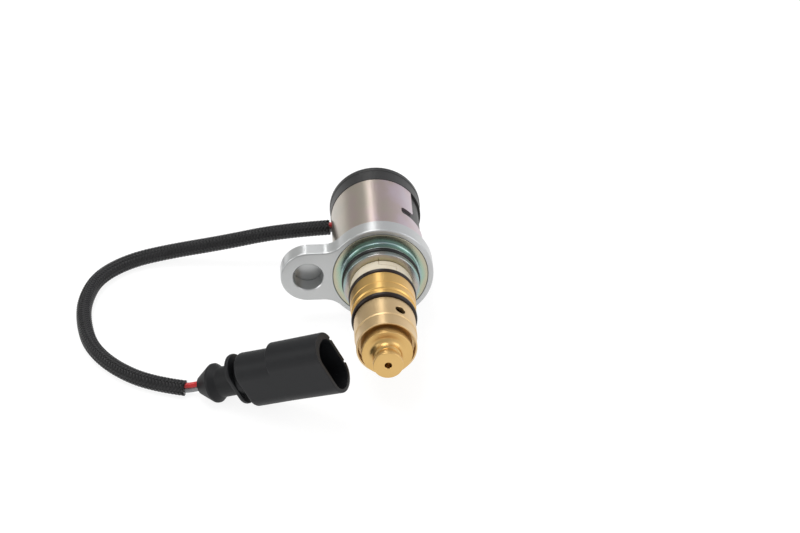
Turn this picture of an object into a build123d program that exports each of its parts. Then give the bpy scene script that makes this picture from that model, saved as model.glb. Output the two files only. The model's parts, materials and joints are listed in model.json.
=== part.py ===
from build123d import *

import os
from math import atan2, cos, degrees, radians, sin, tan

# Compressor control valve with a flying lead, in millimetres.
# The valve is built on its own axis: Z runs from the black end cap to the brass nose, with the
# flange's front face at zero, Y is up and the bolt ear points to minus X. A last step lays the
# valve on its side, on the rims of its flange and its end cap.

# Steel flange with one bolt ear, and the plated yoke let into its front
flange_radius = 15.9
flange_thickness = 5.5
flange_edge = 0.5
ear_reach = 21.6
ear_radius = 8.3
ear_blend = 7.0
bolt_hole_radius = 4.5
yoke_radius = 14.18
yoke_thickness = 2.5
yoke_gap = 0.1
boss_radius = 11.35
boss_height = 6.3
boss_root = 0.5
pole_depth = 6.0

# Solenoid can with its windows, and the black resin round the coil
can_radius = 13.7
can_wall = 1.5
can_length = 32.8
window_from = 52.0
window_to = 125.0
window_front = 16.5
hook_from = 32.0
hook_width = 3.2
window_corner = 0.9
window_recess = 0.6
cap_radius = 13.95
cap_length = 6.9
cap_edge = 0.5
cap_recess_radius = 6.5
cap_recess_depth = 0.8
resin_inner_radius = 11.6
rear_yoke_thickness = 3.5

# Coil, guide tube, core and plunger
tube_radius = 5.5
tube_wall = 0.5
tube_end = 0.8
tube_front = 0.5
tube_set_back = 1.3
slip = 0.05
bobbin_wall = 0.95
bobbin_flange = 1.0
winding_radius = 11.4
rod_radius = 1.55
rod_clearance = 0.05
plunger_length = 15.5
travel = 0.8
stop_gap = 0.2
vent_radius = 0.6
vent_offset = 3.3
rod_grip = 12.0
spring_wire = 0.55
spring_radius = 2.5
spring_turns = 3.5
spring_pocket = 3.0
spring_play = 0.02

# Brass valve body and its grooves
spigot_radius = 7.0
neck_radius = 8.25
land_radius = 9.7
land_rear = 13.1
land_front = 21.4
land_step = 18.0
land_step_depth = 0.12
front_neck_radius = 7.85
front_spigot_radius = 7.4
front_spigot_length = 2.6
port_radius = 1.25
port_station = 16.3
chamber_radius = 5.5
chamber_rear = 9.5
seat_station = 19.0
seat_length = 2.4
seat_bore = 1.8
front_chamber_radius = 6.4

# Valve head on the drive rod
head_radius = 2.4
head_length = 2.3
pin_radius = 1.0
pin_length = 9.7

# Rubber rings, each in its groove, and the white ring behind the second
ring_section = 1.8
rear_ring_station = 3.4
middle_ring_station = 12.2
front_ring_station = 24.1
ring_seat_gap = 0.04
white_ring_radius = 9.3
white_ring_gap = 0.1
white_ring_cut = 0.12
white_ring_cut_from = -5.0
white_ring_cut_to = 28.0
white_ring_cut_station = 8.6

# Front sleeve with its cross holes, the bellows and the nose plug
sleeve_rear = 25.1
sleeve_rim = 38.8
sleeve_radius = 9.1
sleeve_waist_radius = 8.85
sleeve_waist_station = 34.0
sleeve_chamfer = 0.7
rim_bore_radius = 8.35
rim_depth = 2.4
sleeve_relief_radius = 8.0
cross_hole_radius = 1.6
cross_hole_station = 31.0
cross_hole_turn = 29.0
bellows_radius = 5.8
bellows_root = 4.6
bellows_wall = 0.4
bellows_folds = 7
bellows_pitch = 1.35
bellows_cap = 1.2
bellows_gap = 0.4
rod_cup_wall = 0.9
stop_radius = 2.0
stop_length = 3.0
plug_rear = 35.0
plug_cup_radius = 6.1
plug_floor = 1.7
plug_face = 41.5
plug_edge = 0.2
plug_fillet = 1.8
nose_neck_radius = 4.0
nose_neck_end = 43.3
nose_groove_radius = 3.4
nose_head_radius = 4.35
nose_head_rear = 45.6
nose_tip = 47.6
nose_head_edge = 0.25
nose_hole_radius = 1.03
nose_hole_depth = 5.0

# Lead: two wires in a braided sleeve, out of a notch in the can's rear rim
gland_turn = -95.0
gland_set_forward = 3.0
gland_width = 4.2
gland_length = 3.6
gland_corner = 1.8
gland_reach = 13.15
wire_radius = 0.8
wire_spacing = 0.86
wire_bare = 1.3
braid_radius = 2.35
braid_route = [
    (-22.4, 34.3, 11.8),
    (-40.1, 34.9, 7.6),
    (-57.0, 36.6, 3.6),
    (-69.4, 33.9, 2.4),
    (-78.9, 25.5, 2.4),
    (-82.5, 13.6, 2.4),
    (-82.3, 2.7, 2.4),
    (-79.8, -9.2, 2.4),
    (-72.6, -19.7, 2.4),
    (-61.7, -27.7, 2.4),
    (-51.7, -30.3, 2.4),
]

# Two-pin plug at the lead's end, measured from the rubber boot's widest ring towards its mouth
plug_at = (-42.3, -32.2)
plug_heading = -21.7
plug_rise = 24.5
plug_roll = 9.1
boot_radius = 5.8
boot_rim = 0.6
boot_cone = 5.5
boot_end_radius = 2.6
boot_neck_radius = 4.5
retainer_station = 7.4
retainer_thickness = 1.4
retainer_width = 16.6
retainer_height = 9.8
housing_rear = 10.2
housing_step = 21.8
housing_mouth = 39.6
housing_width = 20.3
housing_height = 10.7
housing_taper = 0.6
step_depth = 1.8
rear_edge = 1.2
mouth_wall = 1.25
mouth_end_wall = 2.4
mouth_depth = 14.0
keyway_width = 1.1
keyway_depth = 0.8
keyway_length = 2.5
keyway_offset = 4.55
blade_width = 2.8
blade_thickness = 0.8
blade_spacing = 5.0
blade_set_back = 4.0
blade_root = 6.0

can_inner_radius = can_radius - can_wall
bobbin_front = pole_depth
bobbin_rear = can_length - rear_yoke_thickness
tube_inner_radius = tube_radius - tube_wall
tube_rear = tube_set_back - can_length
plunger_rear = tube_rear + tube_end + stop_gap
plunger_front = plunger_rear + plunger_length
core_rear = plunger_front + stop_gap + travel
plunger_radius = tube_inner_radius - slip
rod_bore_radius = rod_radius + rod_clearance
cup_floor = plug_face - plug_floor
gland_station = can_length - gland_set_forward


def turned(outline):
    """A piece turned about the valve's axis, from its radius and station corners."""
    corners = [(radius, 0, station) for radius, station in outline]
    return revolve(make_face(Polyline(*corners, close=True)), Axis.Z)


def ring(inner, outer, rear, front):
    """A plain turned ring between two radii and two stations."""
    return turned([(inner, rear), (outer, rear), (outer, front), (inner, front)])


def round_bar(radius, rear, front):
    """A solid bar on the valve's axis between two stations."""
    return Pos(0, 0, rear) * extrude(Circle(radius), front - rear)


def turned_sector(inner, outer, rear, front, turn_from, turn_to):
    """A ring's slice between two turns, counted from the top towards plus X."""
    section = make_face(
        Polyline((inner, 0, rear), (outer, 0, rear), (outer, 0, front), (inner, 0, front), close=True)
    )
    return revolve(Rot(0, 0, 90 - turn_to) * section, Axis.Z, turn_to - turn_from)


def cross_bore(radius, station, turn, reach):
    """A round bore from the axis outwards, at a turn counted from the top."""
    return Rot(0, 0, 90 - turn) * Pos(0, 0, station) * Rot(0, 90, 0) * extrude(Circle(radius), reach)


def window_block(inner, outer):
    """The can's side window: a wide opening to the rear rim with a hook at its front."""
    wide = turned_sector(inner, outer, -can_length, -window_front, window_from, window_to)
    hook = turned_sector(
        inner, outer, -window_front - hook_width, -window_front, hook_from, window_from
    )
    block = wide + hook
    corners = block.edges().filter_by(GeomType.LINE).filter_by(lambda e: e.length < outer - inner + slip)
    corners = corners.filter_by(lambda e: e.center().Z > slip - can_length)
    return fillet(corners, window_corner)


def gland_block(inner, outer):
    """The notch in the can's rear rim that the two wires leave by."""
    front = -gland_station + gland_length / 2
    block = Box(
        outer - inner, gland_width, can_length + front, align=(Align.MIN, Align.CENTER, Align.MIN)
    )
    block = fillet(block.edges().filter_by(Axis.X).group_by(Axis.Z)[-1], gland_corner)
    return Rot(0, 0, 90 - gland_turn) * Pos(inner, 0, -can_length) * block


def ring_groove(station):
    """Rear and front walls of a groove that holds a rubber ring."""
    half = ring_section / 2 + white_ring_gap
    return station - half, station + half


def flange_plate():
    body = Circle(flange_radius)
    neck = Pos(-ear_reach / 2, 0) * Rectangle(ear_reach, 2 * ear_radius)
    ear = Pos(-ear_reach, 0) * Circle(ear_radius)
    outline = body + neck + ear
    inner_corners = [
        corner
        for corner in outline.vertices()
        if abs(abs(corner.Y) - ear_radius) < slip and corner.X > -ear_reach + slip
    ]
    plate = extrude(fillet(inner_corners, ear_blend), -flange_thickness)
    rims = plate.faces().sort_by(Axis.Z)
    plate = fillet(rims[0].edges() + rims[-1].edges(), flange_edge)
    plate -= round_bar(can_radius, -flange_thickness, 0)
    plate -= round_bar(yoke_radius + yoke_gap, -yoke_thickness, 0)
    return plate - Pos(-ear_reach, 0, 0) * round_bar(bolt_hole_radius, -flange_thickness, 0)


def front_yoke():
    groove_rear, groove_front = ring_groove(rear_ring_station)
    groove_floor = boss_ring_radius - ring_section / 2 - ring_seat_gap
    yoke = turned(
        [
            (tube_radius, -pole_depth),
            (can_inner_radius, -pole_depth),
            (can_inner_radius, -yoke_thickness),
            (yoke_radius, -yoke_thickness),
            (yoke_radius, 0),
            (boss_radius, 0),
            (boss_radius, groove_rear),
            (groove_floor, groove_rear),
            (groove_floor, groove_front),
            (boss_radius, groove_front),
            (boss_radius, boss_height - yoke_gap),
            (boss_radius - yoke_gap, boss_height),
            (spigot_radius, boss_height),
            (spigot_radius, tube_front),
            (tube_radius, tube_front),
        ]
    )
    root = yoke.edges().filter_by(GeomType.CIRCLE).filter_by(lambda e: abs(e.radius - boss_radius) < slip)
    return fillet(root.sort_by(Axis.Z)[0], boss_root)


def solenoid_can():
    can = ring(can_inner_radius, can_radius, -can_length, -yoke_thickness)
    return can - window_block(can_inner_radius - 1, can_radius + 1) - gland_block(
        can_inner_radius - 1, can_radius + 1
    )


def rear_yoke():
    plate = ring(tube_radius, can_inner_radius, -can_length, -bobbin_rear)
    outer = can_inner_radius + 1
    return plate - window_block(resin_inner_radius, outer) - gland_block(resin_inner_radius, outer)


def resin_moulding():
    cap_rear = -can_length - cap_length
    cap = round_bar(cap_radius, cap_rear, -can_length)
    cap = fillet(cap.edges().sort_by(Axis.Z)[0], cap_edge)
    cap -= round_bar(cap_recess_radius, cap_rear, cap_rear + cap_recess_depth)
    jacket = ring(resin_inner_radius, can_inner_radius, -bobbin_rear, -pole_depth)
    window = window_block(resin_inner_radius, can_radius - window_recess)
    gland = gland_block(resin_inner_radius, gland_reach)
    return cap + jacket + window + gland


def coil_bobbin():
    barrel = tube_radius + slip
    root = barrel + bobbin_wall
    rim = resin_inner_radius
    rear, front = -bobbin_rear, -bobbin_front
    return turned(
        [
            (barrel, rear),
            (rim, rear),
            (rim, rear + bobbin_flange),
            (root, rear + bobbin_flange),
            (root, front - bobbin_flange),
            (rim, front - bobbin_flange),
            (rim, front),
            (barrel, front),
        ]
    )


def coil_winding():
    root = tube_radius + slip + bobbin_wall
    return ring(root, winding_radius, -bobbin_rear + bobbin_flange, -bobbin_front - bobbin_flange)


def guide_tube():
    return turned(
        [
            (0, tube_rear),
            (tube_radius, tube_rear),
            (tube_radius, tube_front),
            (tube_inner_radius, tube_front),
            (tube_inner_radius, tube_rear + tube_end),
            (0, tube_rear + tube_end),
        ]
    )


def fixed_core():
    pocket_radius = spring_radius + spring_wire / 2 + 2 * slip
    core = ring(rod_bore_radius + slip, tube_inner_radius, core_rear, tube_front)
    return core - round_bar(pocket_radius, core_rear, core_rear + spring_pocket)


def plunger():
    body = round_bar(plunger_radius, plunger_rear, plunger_front)
    body -= round_bar(rod_radius, plunger_front - rod_grip, plunger_front)
    return body - Pos(vent_offset, 0, 0) * round_bar(vent_radius, plunger_rear, plunger_front)


def plunger_spring():
    rear = plunger_front + spring_wire / 2 + spring_play
    front = core_rear + spring_pocket - spring_wire / 2 - spring_play
    coil = Helix((front - rear) / spring_turns, front - rear, spring_radius)
    section = Plane(coil @ 0, z_dir=coil % 0) * Circle(spring_wire / 2)
    return Pos(0, 0, rear) * sweep(section, coil, is_frenet=True)


def drive_rod():
    head_rear = seat_station - travel - 2 * stop_gap - head_length
    cone_front = seat_station - stop_gap / 2
    cone_length = head_radius - pin_radius
    return turned(
        [
            (0, plunger_front - rod_grip),
            (rod_radius, plunger_front - rod_grip),
            (rod_radius, head_rear),
            (head_radius, head_rear),
            (head_radius, cone_front - cone_length),
            (pin_radius, cone_front),
            (pin_radius, cone_front + pin_length),
            (0, cone_front + pin_length),
        ]
    )


def valve_body():
    seat_front = seat_station + seat_length
    spigot_front = sleeve_rear + front_spigot_length
    step_radius = land_radius - land_step_depth
    body = turned(
        [
            (rod_bore_radius, tube_front),
            (spigot_radius, tube_front),
            (spigot_radius, boss_height),
            (neck_radius, boss_height),
            (neck_radius, land_rear),
            (land_radius - 0.2, land_rear),
            (land_radius, land_rear + 0.2),
            (land_radius, land_step),
            (step_radius, land_step + land_step_depth),
            (step_radius, land_front - 0.2),
            (step_radius - 0.2, land_front),
            (front_neck_radius, land_front),
            (front_neck_radius, sleeve_rear),
            (front_spigot_radius, sleeve_rear),
            (front_spigot_radius, spigot_front),
            (front_chamber_radius, spigot_front),
            (front_chamber_radius, seat_front),
            (chamber_radius, seat_front),
            (chamber_radius, chamber_rear),
            (rod_bore_radius, chamber_rear),
        ]
    )
    return body - cross_bore(port_radius, port_station, 180, land_radius + 1)


def valve_seat():
    return ring(seat_bore, chamber_radius, seat_station, seat_station + seat_length)


def rubber_ring(radius, station):
    return Pos(0, 0, station) * Torus(radius, ring_section / 2)


def white_ring():
    """A step-cut ring, so that it can be sprung over the body and still closes its groove."""
    inner, outer = neck_radius + ring_seat_gap, white_ring_radius
    rear, front = boss_height + white_ring_gap, ring_groove(middle_ring_station)[0]
    half = white_ring_cut / 2
    half_turn = degrees(half / outer)

    def cut(cut_rear, cut_front, turn_from, turn_to):
        return turned_sector(
            inner - 1, outer + 1, cut_rear, cut_front, turn_from - half_turn, turn_to + half_turn
        )

    station = white_ring_cut_station
    whole = ring(inner, outer, rear, front)
    whole -= cut(rear - 1, station + half, white_ring_cut_from, white_ring_cut_from)
    whole -= cut(station - half, station + half, white_ring_cut_from, white_ring_cut_to)
    return whole - cut(station - half, front + 1, white_ring_cut_to, white_ring_cut_to)


def sensing_bellows():
    """Open at the front, where it stands on the nose plug's cup; its closed end takes the pin."""
    rear = sleeve_rear + front_spigot_length + bellows_gap
    pocket_radius = pin_radius + rod_clearance
    pocket_end = rear + bellows_gap + 2 * travel
    inner_radius = bellows_root - bellows_wall
    outline = [(0, pocket_end), (pocket_radius, pocket_end), (pocket_radius, rear), (bellows_root, rear)]
    fold = rear + bellows_cap
    for turn in range(bellows_folds):
        start = fold + turn * bellows_pitch
        outline += [
            (bellows_root, start),
            (bellows_radius, start + bellows_pitch / 4),
            (bellows_radius, start + bellows_pitch / 2),
            (bellows_root, start + bellows_pitch * 3 / 4),
        ]
    outline += [
        (bellows_root, cup_floor),
        (inner_radius, cup_floor),
        (inner_radius, fold),
        (pocket_radius + rod_cup_wall, fold),
        (pocket_radius + rod_cup_wall, pocket_end + rod_cup_wall),
        (0, pocket_end + rod_cup_wall),
    ]
    return turned(outline)


def nose_sleeve():
    recess = sleeve_rim - rim_depth
    sleeve = turned(
        [
            (front_spigot_radius, sleeve_rear),
            (sleeve_radius - sleeve_chamfer / 2, sleeve_rear),
            (sleeve_radius, sleeve_rear + sleeve_chamfer),
            (sleeve_radius, sleeve_waist_station - 0.4),
            (sleeve_waist_radius, sleeve_waist_station),
            (sleeve_waist_radius, sleeve_rim - 0.15),
            (sleeve_waist_radius - 0.15, sleeve_rim),
            (rim_bore_radius, sleeve_rim),
            (rim_bore_radius, recess),
            (front_spigot_radius, recess),
            (front_spigot_radius, plug_rear),
            (sleeve_relief_radius, plug_rear),
            (sleeve_relief_radius, sleeve_rear + front_spigot_length),
            (front_spigot_radius, sleeve_rear + front_spigot_length),
        ]
    )
    hole = cross_bore(cross_hole_radius, cross_hole_station, cross_hole_turn, sleeve_radius + 1)
    opposite = cross_bore(
        cross_hole_radius, cross_hole_station, cross_hole_turn + 180, sleeve_radius + 1
    )
    return sleeve - hole - opposite


def nose_plug():
    """A turned cup with a necked head in front and the bellows' stop inside."""
    fillet_start = nose_neck_radius + plug_fillet
    fillet_middle = plug_fillet * (1 - cos(radians(45)))
    outline = Polyline(
        (nose_neck_radius, 0, nose_neck_end),
        (nose_groove_radius, 0, nose_neck_end),
        (nose_groove_radius, 0, nose_head_rear),
        (nose_head_radius - nose_head_edge, 0, nose_head_rear),
        (nose_head_radius, 0, nose_head_rear + nose_head_edge),
        (nose_head_radius, 0, nose_tip - nose_head_edge),
        (nose_head_radius - nose_head_edge, 0, nose_tip),
        (nose_hole_radius, 0, nose_tip),
        (nose_hole_radius, 0, nose_tip - nose_hole_depth),
        (0, 0, nose_tip - nose_hole_depth - nose_hole_radius / 2),
        (0, 0, cup_floor - stop_length),
        (stop_radius, 0, cup_floor - stop_length),
        (stop_radius, 0, cup_floor),
        (plug_cup_radius, 0, cup_floor),
        (plug_cup_radius, 0, plug_rear),
        (front_spigot_radius, 0, plug_rear),
        (front_spigot_radius, 0, plug_face - plug_edge),
        (front_spigot_radius - plug_edge, 0, plug_face),
        (fillet_start, 0, plug_face),
    )
    flare = ThreePointArc(
        (fillet_start, 0, plug_face),
        (nose_neck_radius + fillet_middle, 0, plug_face + fillet_middle),
        (nose_neck_radius, 0, nose_neck_end),
    )
    return revolve(make_face(outline + flare), Axis.Z)


def between_faces(start, end, offset):
    """A length of wire from one flat face to another, side by side with its neighbour."""
    way = (end.origin - start.origin).normalized()
    line = Plane(start.origin + offset - way * wire_radius, z_dir=way)
    length = (end.origin - start.origin).length + 2 * wire_radius
    wire = extrude(line * Circle(wire_radius), length)
    wire = split(wire, start, keep=Keep.TOP)
    return split(wire, end, keep=Keep.BOTTOM)


def braid_points(exit_point):
    return [Vector(*exit_point)] + [Vector(*point) for point in braid_route]


def braid_radii(points):
    """The largest bend at each corner of the route that its two runs leave room for."""
    radii = []
    for before, corner, after in zip(points, points[1:], points[2:]):
        shorter = min((corner - before).length, (after - corner).length)
        turn = (corner - before).get_angle(after - corner)
        radii.append(0.45 * shorter / tan(radians(turn / 2)))
    return radii


def braided_sleeve(points):
    route = FilletPolyline(*points, radius=braid_radii(points))
    start = Plane(points[0], z_dir=points[1] - points[0])
    return sweep(start * Circle(braid_radius), route), route


def plug_boot():
    boot = turned(
        [
            (0, -boot_cone),
            (boot_end_radius, -boot_cone),
            (boot_radius, -boot_rim),
            (boot_radius, 0),
            (boot_neck_radius, boot_rim),
            (boot_neck_radius, housing_rear),
            (0, housing_rear),
        ]
    )
    return boot


def plug_retainer():
    plate = extrude(SlotOverall(retainer_width, retainer_height), retainer_thickness)
    plate = fillet(plate.edges().group_by(Axis.Z)[-1], retainer_thickness / 3)
    return Pos(0, 0, retainer_station) * plate - round_bar(boot_neck_radius, 0, housing_rear)


def slot_at(width, height, station, shift=0.0):
    return Pos(shift, 0, station) * SlotOverall(width, height)


def plug_housing():
    step_width = housing_width - housing_taper
    rear_width = step_width - step_depth
    front = loft(
        [
            slot_at(step_width, housing_height - housing_taper / 2, housing_step),
            slot_at(housing_width, housing_height, housing_mouth),
        ],
        ruled=True,
    )
    rear_slot = slot_at(
        rear_width, housing_height - housing_taper / 2, housing_rear, step_depth / 2
    )
    rear = extrude(rear_slot, housing_step - housing_rear)
    rear = fillet(rear.edges().group_by(Axis.Z)[0], rear_edge)
    inner_width = housing_width - mouth_wall - mouth_end_wall
    inner_shift = (mouth_end_wall - mouth_wall) / 2
    floor = housing_mouth - mouth_depth
    cavity = extrude(
        slot_at(inner_width, housing_height - 2 * mouth_wall, floor, inner_shift), mouth_depth
    )
    housing = front + rear - cavity
    for side in (-1, 1):
        housing -= contact_blade(side)
        housing -= Pos(side * keyway_offset, housing_height / 2, housing_mouth) * Box(
            keyway_width, 2 * keyway_depth, 2 * keyway_length
        )
    return housing


def contact_blade(side):
    floor = housing_mouth - mouth_depth
    tip = housing_mouth - blade_set_back
    shift = (mouth_end_wall - mouth_wall) / 2 + side * blade_spacing / 2
    blade = Box(
        blade_width,
        blade_thickness,
        tip - floor + blade_root,
        align=(Align.CENTER, Align.CENTER, Align.MIN),
    )
    blade = Pos(shift, 0, floor - blade_root) * blade
    return chamfer(blade.edges().group_by(Axis.Z)[-1], blade_thickness / 4)


boss_ring_radius = boss_radius + 0.4 - ring_section / 2
middle_ring_radius = land_radius + 0.4 - ring_section / 2
front_ring_radius = sleeve_radius + 0.6 - ring_section / 2

# The valve lies on the flange's back rim and the cap's rear rim, so its nose tips up a little.
cap_rear_rim = can_length + cap_length - cap_edge
flange_back_rim = flange_thickness - flange_edge
tilt = atan2(flange_radius - cap_radius, cap_rear_rim - flange_back_rim)
axis_height = flange_radius * cos(tilt) + flange_back_rim * sin(tilt)

# The frame's origin is on the table, below the middle of the valve.
nose_reach = nose_tip * cos(tilt) + (nose_head_radius - nose_head_edge) * sin(tilt)
cap_reach = (can_length + cap_length) * cos(tilt) + (cap_radius - cap_edge) * sin(tilt)
valve_at = Pos((ear_reach + ear_radius - flange_radius) / 2, (nose_reach - cap_reach) / 2, axis_height)
valve_place = valve_at * Rot(90 - degrees(tilt), 0, 0)

# The plug lies on its boot's widest ring, with its mouth raised by the stiff lead.
mouth_way = Vector(1, 0, 0).rotate(Axis.Y, -plug_rise).rotate(Axis.Z, plug_heading)
long_way = Vector(0, 0, -1).rotate(Axis.Y, -plug_rise).rotate(Axis.Z, plug_heading)
long_way = long_way.rotate(Axis((0, 0, 0), mouth_way), plug_roll)
plug_height = boot_radius * cos(radians(plug_rise)) + boot_rim * sin(radians(plug_rise))
plug_frame = Plane((*plug_at, plug_height), x_dir=long_way, z_dir=mouth_way)
plug_place = plug_frame.location

valve_pieces = {
    "flange_plate": flange_plate(),
    "front_yoke": front_yoke(),
    "solenoid_can": solenoid_can(),
    "rear_yoke": rear_yoke(),
    "resin_moulding": resin_moulding(),
    "coil_bobbin": coil_bobbin(),
    "coil_winding": coil_winding(),
    "guide_tube": guide_tube(),
    "fixed_core": fixed_core(),
    "plunger": plunger(),
    "plunger_spring": plunger_spring(),
    "drive_rod": drive_rod(),
    "valve_body": valve_body(),
    "valve_seat": valve_seat(),
    "o_ring_rear": rubber_ring(boss_ring_radius, rear_ring_station),
    "white_ring": white_ring(),
    "o_ring_middle": rubber_ring(middle_ring_radius, middle_ring_station),
    "o_ring_front": rubber_ring(front_ring_radius, front_ring_station),
    "sensing_bellows": sensing_bellows(),
    "nose_sleeve": nose_sleeve(),
    "nose_plug": nose_plug(),
}
plug_pieces = {
    "plug_boot": plug_boot(),
    "plug_retainer": plug_retainer(),
    "plug_housing": plug_housing(),
    "contact_blade_upper": contact_blade(-1),
    "contact_blade_lower": contact_blade(1),
}
pieces = {name: valve_place * piece for name, piece in valve_pieces.items()}
pieces.update({name: plug_place * piece for name, piece in plug_pieces.items()})

# The lead starts a little outside the gland's flat face and ends just before the boot.
gland_way = Vector(cos(radians(90 - gland_turn)), sin(radians(90 - gland_turn)), 0)
gland_face = gland_way * gland_reach + Vector(0, 0, -gland_station)
gland_plane = Plane(valve_place * Pos(*gland_face) * Plane((0, 0, 0), z_dir=gland_way).location)
exit_point = gland_plane.origin + gland_plane.z_dir * wire_bare
points = braid_points(exit_point)
braid, route = braided_sleeve(points)
pieces["braided_sleeve"] = braid
braid_start = Plane(points[0], z_dir=points[1] - points[0])
braid_end = Plane(points[-1], z_dir=points[-1] - points[-2])
boot_face = Plane(plug_frame.origin - mouth_way * boot_cone, z_dir=mouth_way)
up = Vector(0, 0, wire_spacing)
pieces["wire_red_valve"] = between_faces(gland_plane, braid_start, up)
pieces["wire_grey_valve"] = between_faces(gland_plane, braid_start, -up)
pieces["wire_red_plug"] = between_faces(braid_end, boot_face, up)
pieces["wire_grey_plug"] = between_faces(braid_end, boot_face, -up)

os.makedirs("parts", exist_ok=True)
for name, piece in pieces.items():
    export_step(piece, f"parts/{name}.step")

section_volume = 3.141593 * braid_radius**2 * route.length
print("bend radii", [round(radius, 1) for radius in braid_radii(points)])
print("runs", [round((b - a).length, 1) for a, b in zip(points, points[1:])])
print("lead length", round(route.length, 1), "exit", exit_point)
print("lead volume", round(braid.volume, 1), "against", round(section_volume, 1))
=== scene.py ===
import json
from math import atan2, cos, pi, radians, sin, tan

import bmesh
import bpy
from mathutils import Matrix, Vector


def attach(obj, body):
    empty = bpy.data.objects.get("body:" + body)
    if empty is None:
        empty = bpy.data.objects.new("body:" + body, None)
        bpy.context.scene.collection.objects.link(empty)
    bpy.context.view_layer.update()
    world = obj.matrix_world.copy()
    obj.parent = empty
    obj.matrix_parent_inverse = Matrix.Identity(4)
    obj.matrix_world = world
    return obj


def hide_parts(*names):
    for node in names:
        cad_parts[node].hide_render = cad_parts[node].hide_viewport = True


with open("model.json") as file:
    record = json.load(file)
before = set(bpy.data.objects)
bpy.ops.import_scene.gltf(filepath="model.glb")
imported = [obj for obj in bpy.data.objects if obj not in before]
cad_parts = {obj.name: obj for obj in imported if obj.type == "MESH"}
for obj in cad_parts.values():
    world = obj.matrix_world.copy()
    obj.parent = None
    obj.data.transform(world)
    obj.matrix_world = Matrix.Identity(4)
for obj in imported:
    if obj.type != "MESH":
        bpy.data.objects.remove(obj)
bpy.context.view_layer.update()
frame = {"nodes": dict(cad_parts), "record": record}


# The table and the view. A long lens looks down on the valve from in front of its nose, on a
# plain white table. Rays that the camera, gloss and glass send see the white surround, and the
# light on the object comes from soft lamps and a dimmer sky.
scene = bpy.context.scene
scene.view_settings.view_transform = "Standard"

camera_turn = radians(-2.99)
camera_rise = radians(36.083)
camera_place = Vector((-0.02492, -0.71904, 0.54654))
camera_data = bpy.data.cameras.new("camera")
camera_data.lens = 135
camera_data.sensor_width = 36
camera = bpy.data.objects.new("camera", camera_data)
camera.location = camera_place
camera.rotation_euler = (pi / 2 - camera_rise, 0, camera_turn)
scene.collection.objects.link(camera)
scene.camera = camera


class Wire:
    """One node's output. Sums and products of wires and numbers add the Math nodes they need."""

    def __init__(self, tree, socket):
        self.tree = tree
        self.socket = socket

    def math(self, operation, *others):
        return self.tree.math(operation, self, *others)

    def other(self, name):
        return Wire(self.tree, self.socket.node.outputs[name])

    def __add__(self, value):
        return self.math("ADD", value)

    def __sub__(self, value):
        return self.math("SUBTRACT", value)

    def __rsub__(self, value):
        return self.tree.math("SUBTRACT", value, self)

    def __mul__(self, value):
        return self.math("MULTIPLY", value)

    def __truediv__(self, value):
        return self.math("DIVIDE", value)

    __radd__ = __add__
    __rmul__ = __mul__


class Tree:
    """Adds nodes to a shader or geometry tree: settings first, then what goes into each socket."""

    def __init__(self, nodes):
        self.nodes = nodes

    def feed(self, inlet, value):
        if isinstance(value, Wire):
            self.nodes.links.new(value.socket, inlet)
        else:
            inlet.default_value = value

    def add(self, kind, settings=(), sockets=(), out=0):
        node = self.nodes.nodes.new(kind)
        for name, value in dict(settings).items():
            if name == "stops":
                ramp = node.color_ramp.elements
                ramp[0].position, ramp[0].color = value[0]
                ramp[-1].position, ramp[-1].color = value[-1]
                for place, colour in value[1:-1]:
                    ramp.new(place).color = colour
            else:
                setattr(node, name, value)
        for name, value in dict(sockets).items():
            self.feed(node.inputs[name], value)
        return Wire(self, node.outputs[out]) if node.outputs else node

    def math(self, operation, *values):
        return self.add("ShaderNodeMath", {"operation": operation}, dict(enumerate(values)))

    def blend(self, share, first, second):
        """A colour between two colours."""
        return self.add(
            "ShaderNodeMix", {"data_type": "RGBA"}, {0: share, 6: first, 7: second}, out=2
        )


def colour(red, green, blue):
    """A colour written as it shows on a screen, 0 to 255, as the shader wants it."""
    linear = [
        (x / 255 / 12.92) if x < 10.3 else ((x / 255 + 0.055) / 1.055) ** 2.4
        for x in (red, green, blue)
    ]
    return (*linear, 1.0)


world = bpy.data.worlds.new("sky")
world.use_nodes = True
sky = Tree(world.node_tree)
sky_light = 0.66
sky_way = sky.add("ShaderNodeTexCoord", out="Generated")
studio = sky.add(
    "ShaderNodeValToRGB",
    {
        "stops": [
            (0.0, colour(172, 172, 170)),
            (0.30, colour(190, 190, 188)),
            (0.44, colour(200, 200, 200)),
            (0.56, colour(196, 196, 198)),
            (0.80, colour(244, 244, 248)),
            (1.0, colour(255, 255, 255)),
        ]
    },
    {0: sky.add("ShaderNodeSeparateXYZ", sockets={0: sky_way}) * 0.5 + 0.5},
)
ray = sky.add("ShaderNodeLightPath", out="Is Camera Ray")
soft_sky = sky.blend(ray.other("Is Glossy Ray"), (sky_light, sky_light, sky_light, 1), studio)
clear = ray.math("MAXIMUM", ray.other("Is Transmission Ray"))
seen_sky = sky.blend(clear, soft_sky, colour(255, 255, 255))
sky.feed(world.node_tree.nodes["Background"].inputs["Color"], seen_sky)
scene.world = world


def lamp(name, place, width, length, power):
    """A soft lamp that faces the valve, its length upright."""
    data = bpy.data.lights.new(name, "AREA")
    data.shape = "RECTANGLE"
    data.size = width
    data.size_y = length
    data.energy = power
    obj = bpy.data.objects.new(name, data)
    obj.location = place
    obj.rotation_euler = (-Vector(place)).to_track_quat("-Z", "Y").to_euler()
    scene.collection.objects.link(obj)


lamp("lamp_above", (-0.16, 0.10, 0.62), 0.34, 0.34, 1.6)
lamp("lamp_left", (-0.70, -0.30, 0.35), 0.40, 0.40, 1.2)
lamp("lamp_right", (0.65, -0.25, 0.40), 0.40, 0.40, 0.9)
lamp("lamp_strip", (-0.065, 0.46, 0.36), 0.045, 0.20, 0.16)

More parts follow.
